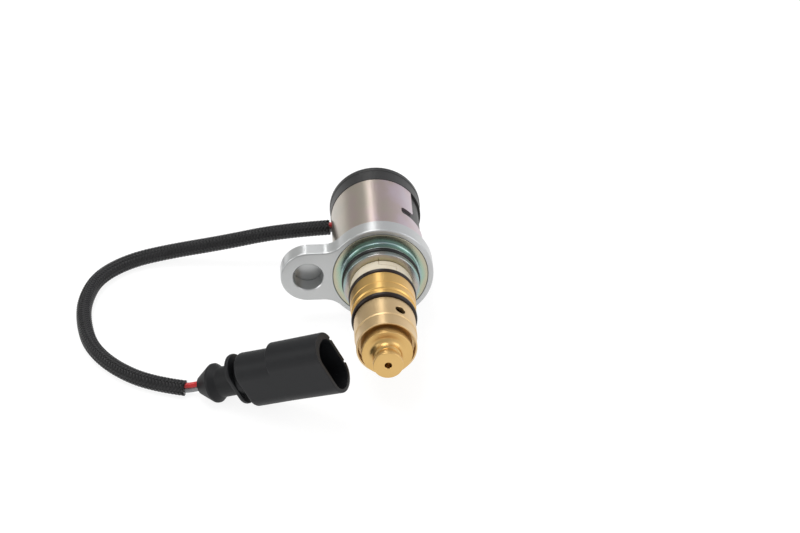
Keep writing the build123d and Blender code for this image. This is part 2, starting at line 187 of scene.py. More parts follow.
floor_mesh = bpy.data.meshes.new("floor")
floor_reach = 3.0
floor_mesh.from_pydata(
    [(x * floor_reach, y * floor_reach, 0) for x, y in ((-1, -1), (1, -1), (1, 1), (-1, 1))],
    [],
    [(0, 1, 2, 3)],
)
floor = bpy.data.objects.new("floor", floor_mesh)
scene.collection.objects.link(floor)
floor_paint = bpy.data.materials.new("floor_white")
floor_paint.use_nodes = True
paper = Tree(floor_paint.node_tree)
paper_shader = floor_paint.node_tree.nodes["Principled BSDF"]
paper_shader.inputs["Roughness"].default_value = 0.9
paper_shader.inputs["Specular IOR Level"].default_value = 0.0
paper_ray = paper.add("ShaderNodeLightPath", out="Is Camera Ray")
paper_seen = paper_ray.math("MAXIMUM", paper_ray.other("Is Glossy Ray")).math(
    "MAXIMUM", paper_ray.other("Is Transmission Ray")
)
paper_glow = 0.86
paper.feed(
    paper_shader.inputs["Base Color"],
    paper.blend(paper_seen, colour(228, 228, 228), colour(124, 124, 124)),
)
paper.feed(paper_shader.inputs["Emission Strength"], paper_seen * paper_glow)
paper_shader.inputs["Emission Color"].default_value = (1, 1, 1, 1)
floor_mesh.materials.append(floor_paint)


# The lead's route: out of the can's side, down to the table, round in one wide bend and back to
# the plug. The wires run in a sleeve braided from flat bundles of black thread, over two and
# under two, cut off with a few loose ends at both ends.
lead_route = [
    (-0.007395, 0.033357, 0.013205),
    (-0.0224, 0.0343, 0.0118),
    (-0.0401, 0.0349, 0.0076),
    (-0.0570, 0.0366, 0.0036),
    (-0.0694, 0.0339, 0.0024),
    (-0.0789, 0.0255, 0.0024),
    (-0.0825, 0.0136, 0.0024),
    (-0.0823, 0.0027, 0.0024),
    (-0.0798, -0.0092, 0.0024),
    (-0.0726, -0.0197, 0.0024),
    (-0.0617, -0.0277, 0.0024),
    (-0.0517, -0.0303, 0.0024),
]
lead_diameter = 0.0047

line = bpy.data.curves.new("lead_line", "CURVE")
line.dimensions = "3D"
line.resolution_u = 24
spline = line.splines.new("NURBS")
spline.points.add(len(lead_route) - 1)
for knot, place in zip(spline.points, lead_route):
    knot.co = (*place, 1)
spline.order_u = 3
spline.use_endpoint_u = True
lead_line = bpy.data.objects.new("lead_line", line)
scene.collection.objects.link(lead_line)
lead_path = [v.co.copy() for v in bpy.data.meshes.new_from_object(lead_line).vertices]


def new_material(name, roughness, metallic=0.0):
    """A material, its tree and its shader, with the plain values set on the shader itself."""
    material = bpy.data.materials.new(name)
    material.use_nodes = True
    shader = material.node_tree.nodes["Principled BSDF"]
    shader.inputs["Roughness"].default_value = roughness
    shader.inputs["Metallic"].default_value = metallic
    return material, Tree(material.node_tree), shader


def millimetres(tree):
    """The place on the piece, in millimetres."""
    place = tree.add("ShaderNodeTexCoord", out="Object")
    return tree.add("ShaderNodeVectorMath", {"operation": "SCALE"}, {0: place, "Scale": 1000.0})


def noise(tree, place, scale, detail=2.0, roughness=0.5):
    return tree.add(
        "ShaderNodeTexNoise",
        sockets={"Vector": place, "Scale": scale, "Detail": detail, "Roughness": roughness},
    )


def bump(tree, shader, height, strength, distance):
    """Feeds a height, in metres times its distance, to the shader's normal."""
    normal = tree.add(
        "ShaderNodeBump", sockets={"Height": height, "Strength": strength, "Distance": distance}
    )
    tree.feed(shader.inputs["Normal"], normal)


braid_black, tree, shader = new_material("braid_black", 0.42)
shader.inputs["Specular IOR Level"].default_value = 0.4
across = tree.add("ShaderNodeAttribute", {"attribute_name": "across"}, out="Fac")
thread = (across * (3 * pi)).math("COSINE") * 0.5 + 0.5
glint_patches = noise(tree, millimetres(tree), 0.35, 3.0)
# The thread crowns are painted lighter in patches along the sleeve: a painted glint of the lamps on the
# threads.
tree.feed(
    shader.inputs["Base Color"],
    tree.blend(thread * glint_patches, colour(8, 8, 9), colour(40, 39, 42)),
)
tree.feed(shader.inputs["Roughness"], 0.56 - thread * 0.26)
bump(tree, shader, thread, 0.6, 0.00006)

strands = 12
strand_lead = 0.0125
strand_rise = 0.00010
strand_width = 0.00112
strand_height = 0.00030
strand_step = 0.00022
core_radius = 0.00203


def socket_of(group, kind, name, value=None, way="INPUT"):
    made = group.interface.new_socket(name, in_out=way, socket_type=kind)
    if value is not None:
        made.default_value = value
    return made.identifier


braid_group = bpy.data.node_groups.new("braid", "GeometryNodeTree")
braid_inputs = {}
socket_of(braid_group, "NodeSocketGeometry", "Line")
for name, kind in (
    ("Strands", "NodeSocketInt"),
    ("Lead", "NodeSocketFloat"),
    ("Radius", "NodeSocketFloat"),
    ("Rise", "NodeSocketFloat"),
    ("Width", "NodeSocketFloat"),
    ("Height", "NodeSocketFloat"),
    ("Step", "NodeSocketFloat"),
    ("Core", "NodeSocketFloat"),
    ("Fray", "NodeSocketFloat"),
    ("Material", "NodeSocketMaterial"),
):
    braid_inputs[name] = socket_of(braid_group, kind, name)
socket_of(braid_group, "NodeSocketGeometry", "Sleeve", way="OUTPUT")

braid = Tree(braid_group)
given = braid.add("NodeGroupInput")
fine = braid.add(
    "GeometryNodeResampleCurve",
    {"mode": "LENGTH"},
    {"Curve": given, "Length": given.other("Step")},
)
tangent = braid.add("GeometryNodeInputTangent")
normal = braid.add("GeometryNodeInputNormal")
side = braid.add("ShaderNodeVectorMath", {"operation": "CROSS_PRODUCT"}, {0: tangent, 1: normal})
along = braid.add("GeometryNodeSplineParameter", out="Length")


def keep(line, kind, value):
    """Holds a value on the line's points, for use after they have moved."""
    node = braid.nodes.nodes.new("GeometryNodeCaptureAttribute")
    node.capture_items.new(kind, "held")
    braid.feed(node.inputs[0], line)
    braid.feed(node.inputs[1], value)
    return Wire(braid, node.outputs[0]), Wire(braid, node.outputs[1])


fine, kept_normal = keep(fine, "VECTOR", normal)
fine, kept_side = keep(fine, "VECTOR", side)
fine, kept_along = keep(fine, "FLOAT", along)

many = given.other("Strands")
copies = braid.add(
    "GeometryNodeDuplicateElements",
    {"domain": "SPLINE"},
    {"Geometry": fine, "Amount": many * 2},
)
which = copies.other("Duplicate Index")
hand = 1 - which.math("LESS_THAN", many) * 2
turns = kept_along / given.other("Lead") * hand * (2 * pi)
turn = turns + (which / many) * (2 * pi)
rise = (turn * (many / 2) - pi / 4).math("COSINE") * hand * given.other("Rise")
spoke = braid.add(
    "ShaderNodeVectorMath",
    {"operation": "ADD"},
    {
        0: braid.add(
            "ShaderNodeVectorMath",
            {"operation": "SCALE"},
            {0: kept_normal, "Scale": turn.math("COSINE")},
        ),
        1: braid.add(
            "ShaderNodeVectorMath", {"operation": "SCALE"}, {0: kept_side, "Scale": turn.math("SINE")}
        ),
    },
)
strand_lines = braid.add(
    "GeometryNodeSetPosition",
    sockets={
        "Geometry": copies,
        "Offset": braid.add(
            "ShaderNodeVectorMath",
            {"operation": "SCALE"},
            {0: spoke, "Scale": given.other("Radius") + rise},
        ),
    },
)
strand_lines = braid.add(
    "GeometryNodeSetCurveNormal", {"mode": "FREE"}, {"Curve": strand_lines, "Normal": spoke}
)
ends = [
    braid.add(
        "FunctionNodeRandomValue",
        {"data_type": "FLOAT"},
        {"Min": 0.0, "Max": given.other("Fray"), "ID": which, "Seed": seed},
        out=1,
    )
    for seed in (4, 9)
]
whole = braid.add("GeometryNodeSplineLength")
strand_lines = braid.add(
    "GeometryNodeTrimCurve",
    {"mode": "LENGTH"},
    {"Curve": strand_lines, "Start": ends[0], "End": whole - ends[1]},
)
flat = braid.add("GeometryNodeCurvePrimitiveCircle", sockets={"Resolution": 4, "Radius": 1.0})
flat_place = braid.add("GeometryNodeInputPosition")
flat_x = braid.add("ShaderNodeSeparateXYZ", sockets={0: flat_place})
flat = braid.add(
    "GeometryNodeStoreNamedAttribute",
    {"data_type": "FLOAT", "domain": "POINT"},
    {"Geometry": flat, "Name": "across", "Value": flat_x.other("Y")},
)
flat = braid.add(
    "GeometryNodeSetPosition",
    sockets={
        "Geometry": flat,
        "Position": braid.add(
            "ShaderNodeCombineXYZ",
            sockets={
                "X": flat_x * given.other("Height") / 2,
                "Y": flat_x.other("Y") * given.other("Width") / 2,
            },
        ),
    },
)
ribbons = braid.add(
    "GeometryNodeCurveToMesh",
    sockets={"Curve": strand_lines, "Profile Curve": flat, "Fill Caps": True},
)
core_line = braid.add(
    "GeometryNodeResampleCurve", {"mode": "LENGTH"}, {"Curve": given, "Length": 0.0008}
)
core = braid.add(
    "GeometryNodeCurveToMesh",
    sockets={
        "Curve": core_line,
        "Profile Curve": braid.add(
            "GeometryNodeCurvePrimitiveCircle",
            sockets={"Resolution": 32, "Radius": given.other("Core")},
        ),
        "Fill Caps": True,
    },
)
joined = braid.nodes.nodes.new("GeometryNodeJoinGeometry")
for part in (core, ribbons):
    braid.nodes.links.new(part.socket, joined.inputs[0])
solid = braid.add("GeometryNodeRealizeInstances", sockets={0: Wire(braid, joined.outputs[0])})
painted = braid.add(
    "GeometryNodeSetMaterial", sockets={"Geometry": solid, "Material": given.other("Material")}
)
braid.add("NodeGroupOutput", sockets={0: painted})


def grown(name, source, group, inputs, values):
    """Runs a node tree on an object and returns the result as a plain mesh piece."""
    modifier = source.modifiers.new(name, "NODES")
    modifier.node_group = group
    for label, value in values.items():
        modifier[inputs[label]] = value
    bpy.context.view_layer.update()
    depsgraph = bpy.context.evaluated_depsgraph_get()
    mesh = bpy.data.meshes.new_from_object(source.evaluated_get(depsgraph))
    source.modifiers.remove(modifier)
    piece = bpy.data.objects.new(name, mesh)
    scene.collection.objects.link(piece)
    return piece


sleeve = grown(
    "lead_sleeve",
    lead_line,
    braid_group,
    braid_inputs,
    {
        "Strands": strands,
        "Lead": strand_lead,
        "Radius": lead_diameter / 2 - strand_rise - strand_height / 2,
        "Rise": strand_rise,
        "Width": strand_width,
        "Height": strand_height,
        "Step": strand_step,
        "Core": core_radius,
        "Fray": 0.0006,
        "Material": braid_black,
    },
)
bpy.data.objects.remove(lead_line)
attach(sleeve, "valve")
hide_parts("braided_sleeve")


# The valve's own frame: its nose way and the flange's front face come from the part's record.
# Every turned piece is drawn as radius and station along that axis, in millimetres.
seat = next(m for m in frame["record"]["mounts"] if m["name"] == "flange_seat")
seat_offset = 0.0157
right_way = Vector((1, 0, 0))
nose_way = Vector(seat["axis"])
valve_turn = Matrix((right_way, nose_way.cross(right_way), nose_way)).transposed()
valve_frame = Matrix.Translation(Vector(seat["pos_m"]) + right_way * seat_offset) @ valve_turn.to_4x4()
millimetre = Matrix.Scale(0.001, 4)


def rounded(outline, steps=5):
    """An outline's points, with an arc at each corner that gives an edge radius."""
    points = []
    for index, (radius, station, *edge) in enumerate(outline):
        corner = Vector((radius, station))
        if not edge:
            points.append(corner)
            continue
        back = (Vector(outline[index - 1][:2]) - corner).normalized()
        ahead = (Vector(outline[(index + 1) % len(outline)][:2]) - corner).normalized()
        half = back.angle(ahead) / 2
        centre = corner + (back + ahead).normalized() * edge[0] / sin(half)
        start = corner + back * edge[0] / tan(half) - centre
        end = corner + ahead * edge[0] / tan(half) - centre
        points += [centre + start.slerp(end, step / steps) * edge[0] for step in range(steps + 1)]
    return points


def skin(shape, rings, closed=False):
    """Joins one ring of corners to the next. A ring of one corner is a tip."""
    pairs = list(zip(rings, rings[1:])) + ([(rings[-1], rings[0])] if closed else [])
    for first, second in pairs:
        count = max(len(first), len(second))
        for index in range(count):
            after = (index + 1) % count
            corners = [first[index % len(first)], first[after % len(first)]]
            corners += [second[after % len(second)], second[index % len(second)]]
            shape.faces.new(list(dict.fromkeys(corners)))


def turned(outline, steps=192):
    """A piece turned on the valve's axis, closed between its outline's ends."""
    shape = bmesh.new()
    rings = []
    points = rounded(outline)
    for radius, station in points:
        count = steps if radius > 0.001 else 1
        turns = [2 * pi * step / steps for step in range(count)]
        rings.append(
            [shape.verts.new((radius * sin(turn), radius * cos(turn), station)) for turn in turns]
        )
    skin(shape, rings, closed=points[0].x > 0.001)
    return shape


def piece(name, shape, place, material, sharp=35):
    """Makes an object of a shape drawn in millimetres, in its place, with soft bright edges."""
    bmesh.ops.transform(shape, matrix=place @ millimetre, verts=shape.verts)
    bmesh.ops.remove_doubles(shape, verts=shape.verts, dist=1e-7)
    bmesh.ops.recalc_face_normals(shape, faces=shape.faces)
    mesh = bpy.data.meshes.new(name)
    shape.to_mesh(mesh)
    shape.free()
    mesh.shade_smooth()
    mesh.set_sharp_from_angle(angle=radians(sharp))
    rough = bpy.data.objects.new(name + "_rough", mesh)
    scene.collection.objects.link(rough)
    weighted = rough.modifiers.new("weighted", "WEIGHTED_NORMAL")
    weighted.keep_sharp = True
    bpy.context.view_layer.update()
    evaluated = rough.evaluated_get(bpy.context.evaluated_depsgraph_get())
    made = bpy.data.objects.new(name, bpy.data.meshes.new_from_object(evaluated))
    bpy.data.objects.remove(rough)
    made.data.materials.clear()
    made.data.materials.append(material)
    scene.collection.objects.link(made)
    return made


def carved(shape, *cutters):
    """The shape with the cutters taken out of it."""
    objects = []
    for index, part in enumerate((shape, *cutters)):
        bmesh.ops.remove_doubles(part, verts=part.verts, dist=1e-5)
        bmesh.ops.recalc_face_normals(part, faces=part.faces)
        mesh = bpy.data.meshes.new("carved")
        part.to_mesh(mesh)
        part.free()
        objects.append(bpy.data.objects.new("carved", mesh))
        scene.collection.objects.link(objects[-1])
    for cutter in objects[1:]:
        modifier = objects[0].modifiers.new("cut", "BOOLEAN")
        modifier.solver = "EXACT"
        modifier.object = cutter
    bpy.context.view_layer.update()
    evaluated = objects[0].evaluated_get(bpy.context.evaluated_depsgraph_get())
    result = bmesh.new()
    result.from_mesh(evaluated.to_mesh())
    for made in objects:
        bpy.data.objects.remove(made)
    return result


def drill(radius, station, turn, reach, sink=0.12):
    """A cutter for a round hole from the axis outwards, broken a little at the surface."""
    shape = bmesh.new()
    rings = []
    for size, out in ((0, 0), (radius, 0), (radius, reach - sink), (radius + sink + 0.5, reach + 0.5), (0, reach + 0.5)):
        count = 48 if size else 1
        turns = [2 * pi * step / 48 for step in range(count)]
        rings.append([shape.verts.new((size * cos(t), out, size * sin(t))) for t in turns])
    skin(shape, rings)
    place = Matrix.Rotation(-radians(turn), 4, "Z") @ Matrix.Identity(4)
    bmesh.ops.transform(shape, matrix=Matrix.Translation((0, 0, station)) @ place, verts=shape.verts)
    return shape


def wedge(columns, inner, outer):
    """A solid between two radii, from columns of turn in degrees, rear and front station."""
    shape = bmesh.new()
    rings = []
    for turn, rear, front in columns:
        way = Vector((sin(radians(turn)), cos(radians(turn)), 0))
        corners = ((inner, rear), (outer, rear), (outer, front), (inner, front))
        rings.append([shape.verts.new(way * radius + Vector((0, 0, s))) for radius, s in corners])
    skin(shape, rings)
    shape.faces.new(rings[0])
    shape.faces.new(rings[-1][::-1])
    return shape


def local_place(tree, place):
    """The place on the piece in the frame of the valve or the plug, in millimetres."""
    return tree.add(
        "ShaderNodeMapping",
        {"vector_type": "TEXTURE"},
        {
            "Vector": tree.add("ShaderNodeTexCoord", out="Object"),
            "Location": place.translation,
            "Rotation": place.to_euler(),
            "Scale": (0.001, 0.001, 0.001),
        },
    )


def turned_metal(name, dark, light, roughness, marks=1.0):
    """Metal turned on the valve's axis: fine rings from the tool, and a slow change of tone."""
    material, tree, shader = new_material(name, roughness, 1.0)
    place = local_place(tree, valve_frame)
    parts = tree.add("ShaderNodeSeparateXYZ", sockets={0: place})
    radius = (parts * parts + parts.other("Y") * parts.other("Y")).math("SQRT")
    turn = parts.other("Y").math("ARCTAN2", parts)
    groove_place = tree.add(
        "ShaderNodeCombineXYZ",
        sockets={"X": radius * 9.0, "Y": parts.other("Z") * 9.0, "Z": turn * 0.6},
    )
    grooves = noise(tree, groove_place, 1.0, 3.0, 0.65)
    tone = noise(tree, place, 0.18, 3.0)
    tree.feed(shader.inputs["Base Color"], tree.blend(grooves * 0.45 + tone * 0.55, dark, light))
    tree.feed(shader.inputs["Roughness"], roughness - 0.06 + grooves * 0.12)
    bump(tree, shader, grooves, 0.25 * marks, 0.00003)
    return material


# The flange: a thick steel plate with one bolt ear, sheared and zinc plated light grey. The ear
# flows into the round with a wide hollow curve, and a recess in its front holds the yoke.
flange_radius = 15.9
flange_thickness = 5.5
flange_edge = 0.5
ear_reach = 21.6
ear_radius = 8.3
ear_blend = 7.0
ear_hole = 4.5
yoke_bore = 14.28
yoke_depth = 2.5
can_bore = 13.72


def arc(centre, radius, turn_from, turn_to, steps):
    """Points on an arc, both ends included."""
    for step in range(steps + 1):
        turn = turn_from + (turn_to - turn_from) * step / steps
        yield centre[0] + radius * cos(turn), centre[1] + radius * sin(turn)


def flange_outline(inset):
    """The plate's outline, moved inwards."""
    half, round_radius, blend = ear_radius - inset, flange_radius - inset, ear_blend + inset
    blend_y = half + blend
    blend_x = -(((round_radius + blend) ** 2 - blend_y**2) ** 0.5)
    meet = atan2(blend_y, blend_x)
    points = list(arc((-ear_reach, 0), half, pi / 2, 3 * pi / 2, 48))
    points += arc((blend_x, -blend_y), blend, pi / 2, -meet + pi, 20)
    points += arc((0, 0), round_radius, -meet, meet, 144)
    points += arc((blend_x, blend_y), blend, meet - pi, -pi / 2, 20)
    return points


def circle(radius, centre=0.0, steps=192):
    return [(centre + x, y) for x, y in list(arc((0, 0), radius, 0, 2 * pi, steps))[:-1]]


flange = bmesh.new()
quarter = [radians(90 * step / 5) for step in range(6)]


def ring_of(shape, points, station):
    return [shape.verts.new((x, y, station)) for x, y in points]


rim = [
    ring_of(flange, flange_outline(flange_edge * (1 - sin(t))), -flange_edge * (1 - cos(t)))
    for t in quarter
]
rim += [
    ring_of(
        flange,
        flange_outline(flange_edge * (1 - cos(t))),
        -flange_thickness + flange_edge * (1 - sin(t)),
    )
    for t in quarter
]
break_edge = 0.12
bore = [
    ring_of(flange, circle(radius), station)
    for radius, station in (
        (yoke_bore + break_edge, 0),
        (yoke_bore, -break_edge),
        (yoke_bore, -yoke_depth),
        (can_bore, -yoke_depth),
        (can_bore, -flange_thickness + break_edge),
        (can_bore + break_edge, -flange_thickness),
    )
]
hole = [
    ring_of(flange, circle(radius, -ear_reach, 96), station)
    for radius, station in (
        (ear_hole + 0.25, 0),
        (ear_hole, -0.25),
        (ear_hole, -flange_thickness + 0.25),
        (ear_hole + 0.25, -flange_thickness),
    )
]
for wall in (rim, bore, hole):
    skin(flange, wall)
for end in (0, -1):
    loops = []
    for ring in (rim[end], bore[end], hole[end]):
        loops += [flange.edges.get((a, b)) for a, b in zip(ring, ring[1:] + ring[:1])]
    bmesh.ops.triangle_fill(flange, edges=loops, use_beauty=True)

flange_zinc, tree, shader = new_material("flange_zinc", 0.3, 0.8)
place = local_place(tree, valve_frame)
grain = noise(tree, place, 2.2, 4.0, 0.6)
cloud = noise(tree, place, 0.12, 2.0)
tree.feed(
    shader.inputs["Base Color"],
    tree.blend(cloud * 0.7 + grain * 0.3, colour(184, 187, 186), colour(198, 198, 199)),
)
tree.feed(shader.inputs["Roughness"], 0.25 + grain * 0.1)
bump(tree, shader, grain, 0.2, 0.00004)

flange_piece = piece("flange", flange, valve_frame, flange_zinc)
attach(flange_piece, "valve")
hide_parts("flange_plate")


# The front yoke: a soft iron disc let into the flange, with the boss that carries the first
# rubber ring. It is yellow zinc plated in olive, mint and rose, and its colour turns from olive at the
# rim to mint at the boss, which is painted reflection.
yoke_radius = 14.18
boss_radius = 11.35
boss_height = 6.3
ring_section = 1.8
rear_ring_station = 3.4
groove_half = ring_section / 2 + 0.1
rear_ring_radius = boss_radius + 0.4 - ring_section / 2
groove_floor = rear_ring_radius - ring_section / 2 - 0.04
body_spigot = 7.0
tube_outer = 5.5
pole_depth = 6.0
can_inner = 12.2

yoke_zinc, tree, shader = new_material("yoke_zinc", 0.24, 1.0)
place = local_place(tree, valve_frame)
parts = tree.add("ShaderNodeSeparateXYZ", sockets={0: place})
radius = (parts * parts + parts.other("Y") * parts.other("Y")).math("SQRT")
drift = noise(tree, place, 0.14, 2.0)
# The plating colour drifts at random; its turn by radius, from olive at the rim to mint and teal at the
# boss, is a painted reflection of the hollow round the boss.
plating_and_painted_reflection = tree.add(
    "ShaderNodeValToRGB",
    {
        "stops": [
            (0.0, colour(176, 170, 152)),
            (0.22, colour(182, 180, 158)),
            (0.45, colour(160, 184, 166)),
            (0.62, colour(156, 180, 180)),
            (0.80, colour(180, 172, 168)),
            (1.0, colour(176, 170, 146)),
        ]
    },
    {0: (yoke_radius - radius) / (yoke_radius - boss_radius) * 0.55 + drift * 0.5 - 0.15},
)
grooves = noise(
    tree, tree.add("ShaderNodeCombineXYZ", sockets={"X": radius * 8.0, "Y": parts.other("Z") * 8.0}), 1.0
)
tree.feed(shader.inputs["Base Color"], plating_and_painted_reflection)
tree.feed(shader.inputs["Roughness"], 0.18 + grooves * 0.12)
bump(tree, shader, grooves, 0.15, 0.00003)

yoke = piece(
    "front_yoke_plated",
    turned(
        [
            (tube_outer, -pole_depth),
            (can_inner, -pole_depth, 0.2),
            (can_inner, -yoke_depth),
            (yoke_radius, -yoke_depth, 0.1),
            (yoke_radius, 0, 0.18),
            (boss_radius, 0, 0.5),
            (boss_radius, rear_ring_station - groove_half, 0.12),
            (groove_floor, rear_ring_station - groove_half, 0.15),
            (groove_floor, rear_ring_station + groove_half, 0.15),
            (boss_radius, rear_ring_station + groove_half, 0.12),
            (boss_radius, boss_height, 0.25),
            (body_spigot, boss_height),
            (body_spigot, 0.5),
            (tube_outer, 0.5),
        ]
    ),
    valve_frame,
    yoke_zinc,
)
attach(yoke, "valve")
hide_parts("front_yoke")


# The solenoid's can: a steel tube, zinc plated and passivated, with a side window to the rear
# rim that starts in a hook, and a round-ended notch that the wires leave by.
can_radius = 13.7
can_rear = -32.8
window_from, hook_to, window_to = 32.0, 52.0, 125.0
window_front = -16.5
hook_rear = -19.7
window_corner = 0.9
notch_turn = -95.0
notch_width = 4.2
notch_front = -28.0
degree = radians(1) * can_radius


def window_columns(shrink=0.0, rear=can_rear - 1):
    """The window as columns, its corners rounded, made smaller all round by a clearance."""
    corner = window_corner
    left = window_from + shrink / degree
    columns = []
    for t in quarter:
        lift = corner * (1 - sin(t)) + shrink
        turn = left + corner * (1 - cos(t)) / degree
        columns.append((turn, hook_rear + lift, window_front - lift))
    for t in quarter:
        turn = hook_to + shrink / degree - corner * (1 - sin(t)) / degree
        columns.append((turn, hook_rear + shrink - corner * (1 - cos(t)), window_front - shrink))
    steps = 36
    first = columns[-1][0] + 0.02
    last = window_to - (shrink + corner) / degree
    for step in range(steps + 1):
        columns.append((first + (last - first) * step / steps, rear, window_front - shrink))
    for t in quarter[1:]:
        turn = last + corner * sin(t) / degree
        columns.append((turn, rear, window_front - shrink - corner * (1 - cos(t))))
    return columns


def notch_columns(shrink=0.0, rear=can_rear - 1):
    half = notch_width / 2 - shrink
    columns = []
    steps = 24
    for step in range(steps + 1):
        out = -cos(pi * step / steps)
        lift = half * (1 - (1 - out * out) ** 0.5)
        columns.append((notch_turn + out * half / degree, rear, notch_front - shrink - lift))
    return columns


can_zinc, tree, shader = new_material("can_zinc", 0.3, 1.0)
place = local_place(tree, valve_frame)
parts = tree.add("ShaderNodeSeparateXYZ", sockets={0: place})
streak_place = tree.add(
    "ShaderNodeCombineXYZ",
    sockets={"X": parts * 0.16, "Y": parts.other("Y") * 0.16, "Z": parts.other("Z") * 0.09},
)
drift = noise(tree, streak_place, 1.0, 2.5)
# The plating tone drifts at random in long streaks, and across the can it is painted darker and olive on
# the left side and lighter and lilac on the right: painted shade and painted reflection.
plating_and_painted_reflection = tree.add(
    "ShaderNodeValToRGB",
    {
        "stops": [
            (0.0, colour(168, 166, 156)),
            (0.35, colour(182, 172, 160)),
            (0.5, colour(184, 168, 164)),
            (0.65, colour(190, 174, 180)),
            (1.0, colour(196, 192, 200)),
        ]
    },
    {0: parts / (2 * can_radius) * 0.55 + drift * 0.8 + 0.1},
)
grain = noise(tree, place, 1.6, 3.0)
tree.feed(shader.inputs["Base Color"], plating_and_painted_reflection)
tree.feed(shader.inputs["Roughness"], 0.24 + grain * 0.14)
bump(tree, shader, grain, 0.12, 0.00003)

can = piece(
    "can",
    carved(
        turned(
            [
                (can_inner, can_rear),
                (can_radius, can_rear, 0.15),
                (can_radius, -yoke_depth, 0.1),
                (can_inner, -yoke_depth),
            ],
            240,
        ),
        wedge(window_columns(), can_inner - 1, can_radius + 1),
        wedge(notch_columns(), can_inner - 1, can_radius + 1),
    ),
    valve_frame,
    can_zinc,
)
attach(can, "valve")
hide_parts("solenoid_can")


# The black resin: it is moulded round the coil inside the can, so it closes the can's rear with
# a thick round cap, fills the window a little below the steel, and seals the wires' notch.
cap_radius = 13.95
cap_band = 1.9
cap_waist = 13.82
cap_rear = -39.7
cap_dish_radius = 6.5
cap_dish = 0.8
resin_inner = 11.6
window_recess = 0.6
gland_reach = 13.15


def added(shape, other):
    """One shape with another's faces beside its own."""
    mesh = bpy.data.meshes.new("added")
    other.to_mesh(mesh)
    other.free()
    shape.from_mesh(mesh)
    return shape


resin = turned(
    [
        (0, cap_rear + cap_dish),
        (cap_dish_radius, cap_rear + cap_dish, 0.15),
        (cap_dish_radius + 0.3, cap_rear, 0.3),
        (cap_radius, cap_rear, 0.5),
        (cap_radius, cap_rear + cap_band, 0.06),
        (cap_waist, cap_rear + cap_band + 0.15, 0.1),
        (cap_waist, can_rear, 0.15),
        (can_inner - 0.05, can_rear),
        (can_inner - 0.05, -pole_depth),
        (resin_inner, -pole_depth),
        (resin_inner, can_rear + 3.5),
        (0, can_rear + 3.5),
    ]
)
added(resin, wedge(window_columns(0.02, can_rear), resin_inner, can_radius - window_recess))
added(resin, wedge(notch_columns(0.02, can_rear), resin_inner, gland_reach))

resin_black, tree, shader = new_material("resin_black", 0.42)
place = local_place(tree, valve_frame)
grain = noise(tree, place, 3.0, 4.0, 0.6)
cloud = noise(tree, place, 0.3, 2.0)
tree.feed(
    shader.inputs["Base Color"],
    tree.blend(cloud * 0.6 + grain * 0.4, colour(12, 12, 13), colour(25, 24, 24)),
)
tree.feed(shader.inputs["Roughness"], 0.38 + grain * 0.14)
bump(tree, shader, grain, 0.15, 0.00004)

cap = piece("end_cap", resin, valve_frame, resin_black)
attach(cap, "valve")
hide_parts("resin_moulding")


# The rubber rings: round cords of rubber, moulded, lightly oiled and stretched into grooves. The
# rear one is black, and the two on the brass are a very dark brown.
def rubber_ring(name, node, radius, station, rubber):
    shape = bmesh.new()
    rings = []
    for step in range(192):
        turn = 2 * pi * step / 192
        way = Vector((sin(turn), cos(turn), 0))
        section = [2 * pi * side / 28 for side in range(28)]
        rings.append(
            [
                shape.verts.new(
                    way * (radius + ring_section / 2 * cos(side))
                    + Vector((0, 0, station + ring_section / 2 * sin(side)))
                )
                for side in section
            ]
        )
    skin(shape, rings, closed=True)
    made = piece(name, shape, valve_frame, rubber)
    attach(made, "valve")
    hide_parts(node)


def rubber(name, dark, light):
    material, tree, shader = new_material(name, 0.28)
    shader.inputs["Specular IOR Level"].default_value = 0.35
    place = local_place(tree, valve_frame)
    bloom = noise(tree, place, 0.9, 4.0, 0.6)
    tree.feed(shader.inputs["Base Color"], tree.blend(bloom, dark, light))
    tree.feed(shader.inputs["Roughness"], 0.2 + bloom * 0.22)
    bump(tree, shader, noise(tree, place, 5.0, 2.0), 0.08, 0.00003)
    return material


land_radius = 9.7
sleeve_radius = 9.1
middle_ring_station = 12.2
front_ring_station = 24.1
rubber_black = rubber("rubber_black", colour(7, 7, 6), colour(20, 19, 17))
rubber_brown = rubber("rubber_brown", colour(16, 8, 5), colour(38, 22, 14))
rubber_ring("ring_rear", "o_ring_rear", rear_ring_radius, rear_ring_station, rubber_black)
rubber_ring(
    "ring_middle",
    "o_ring_middle",
    land_radius + 0.4 - ring_section / 2,
    middle_ring_station,
    rubber_brown,
)
rubber_ring(
    "ring_front",
    "o_ring_front",
    sleeve_radius + 0.6 - ring_section / 2,
    front_ring_station,
    rubber_brown,
)


# The white ring: a back-up ring turned from white plastic, cut through on a slant so that it can
# be sprung over the body behind the middle rubber ring.
white_ring_radius = 9.3
white_rear = boss_height + 0.1
white_front = middle_ring_station - groove_half
neck_radius = 8.25

ring_white, tree, shader = new_material("ring_white", 0.42)
place = local_place(tree, valve_frame)
cloud = noise(tree, place, 0.5, 3.0)
tree.feed(
    shader.inputs["Base Color"], tree.blend(cloud, colour(204, 193, 170), colour(222, 212, 192))
)
shader.inputs["Subsurface Weight"].default_value = 0.15
shader.inputs["Subsurface Radius"].default_value = (0.0008, 0.0006, 0.0004)
bump(tree, shader, noise(tree, place, 3.0, 2.0), 0.1, 0.00003)

cut_from, cut_to = -5.0, 28.0
cut_station = 8.6
cut_half = 0.06
cut_turn = cut_half / white_ring_radius / radians(1)


def ring_cut(turn_from, turn_to, rear, front):
    """A thin cutter through the white ring."""
    turns = [turn_from - cut_turn + (turn_to - turn_from + 2 * cut_turn) * t / 12 for t in range(13)]
    return wedge([(turn, rear, front) for turn in turns], neck_radius - 0.5, white_ring_radius + 0.5)


